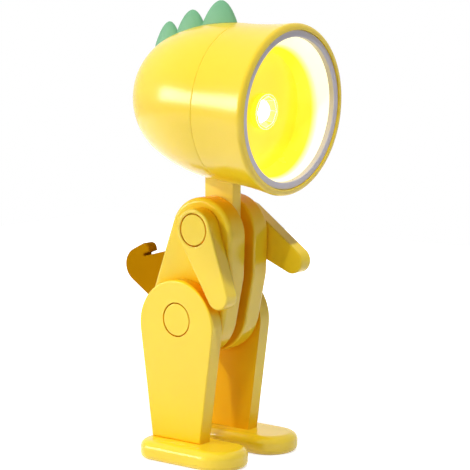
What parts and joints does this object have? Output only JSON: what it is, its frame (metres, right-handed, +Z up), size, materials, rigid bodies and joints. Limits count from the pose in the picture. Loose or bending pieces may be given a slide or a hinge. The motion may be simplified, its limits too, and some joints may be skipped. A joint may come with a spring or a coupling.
{
  "type": "night light",
  "caption": "Small folding battery night light shaped as a standing figure, with a tilting lamp for a head and swinging arms and legs.",
  "frame": {"origin": "centre of the overall box in X and Y, on the floor under the feet", "axes": "+Z up, -Y the way the figure and its lamp face, +X towards the figure's left side"},
  "size_m": [0.0346, 0.0448, 0.0947],
  "materials": {
    "yellow": "satin",
    "green": "matt",
    "lilac": "satin",
    "cup_yellow": "gloss",
    "silvered": "polished",
    "led_clear": "clear, lit",
    "board": "lacquered",
    "steel": "bright",
    "nickel": "nickel plated",
    "nylon": "plain",
    "black": "plain"
  },
  "bodies": {
    "torso": {"torso_right": "yellow", "torso_left": "yellow", "tail": "yellow", "shoulder_axle": "steel", "hip_axle": "steel", "shoulder_washers": "nylon", "hip_washers": "nylon", "shoulder_push_nuts": "steel", "hip_push_nuts": "steel"},
    "neck": {"neck": "yellow"},
    "head": {"battery_cell_1": "nickel", "battery_cell_2": "nickel", "battery_cell_3": "nickel", "head_front_shell": "yellow", "head_rear_shell": "yellow", "crest": "green", "bezel_ring": "lilac", "reflector_cup": "cup_yellow", "lamp_plate": "cup_yellow", "led_cup": "silvered", "led": "led_clear", "led_board": "board", "board_screws": "steel", "battery_holder": "black", "inner_contact": "nickel", "door_contact": "nickel", "battery_door": "yellow", "door_screw": "steel", "neck_pin": "steel", "switch_body": "black", "switch_board": "board"},
    "switch_button": {"switch_button": "yellow"},
    "arm_right": {"arm_right": "yellow", "arm_cap_right": "yellow"},
    "arm_left": {"arm_left": "yellow", "arm_cap_left": "yellow"},
    "leg_right": {"leg_right": "yellow", "leg_cap_right": "yellow", "foot_right": "yellow"},
    "leg_left": {"leg_left": "yellow", "leg_cap_left": "yellow", "foot_left": "yellow"}
  },
  "joints": [
    {"name": "neck_fold", "type": "hinge", "parent": "torso", "child": "neck", "pos_m": [0, -0.00334, 0.0484], "axis": [-1, 0, 0], "range_deg": [-50, 40]},
    {"name": "head_tilt", "type": "hinge", "parent": "neck", "child": "head", "pos_m": [0, -0.00334, 0.0625], "axis": [1, 0, 0], "range_deg": [-30, 15]},
    {"name": "arm_right_swing", "type": "hinge", "parent": "torso", "child": "arm_right", "pos_m": [0, -0.00334, 0.0484], "axis": [-1, 0, 0], "range_deg": [-1.5, 85]},
    {"name": "arm_left_swing", "type": "hinge", "parent": "torso", "child": "arm_left", "pos_m": [0, -0.00334, 0.0484], "axis": [-1, 0, 0], "range_deg": [-35, 49]},
    {"name": "leg_right_swing", "type": "hinge", "parent": "torso", "child": "leg_right", "pos_m": [0, 0.00121, 0.0294], "axis": [-1, 0, 0], "range_deg": [-60, 20]},
    {"name": "leg_left_swing", "type": "hinge", "parent": "torso", "child": "leg_left", "pos_m": [0, 0.00121, 0.0294], "axis": [-1, 0, 0], "range_deg": [-60, 90]},
    {"name": "switch_press", "type": "slide", "parent": "head", "child": "switch_button", "axis": [0, -0.9977, -0.068], "range_m": [0, 0.0008], "stiffness_N_per_m": 1500, "springref_m": -0.0004}
  ]
}
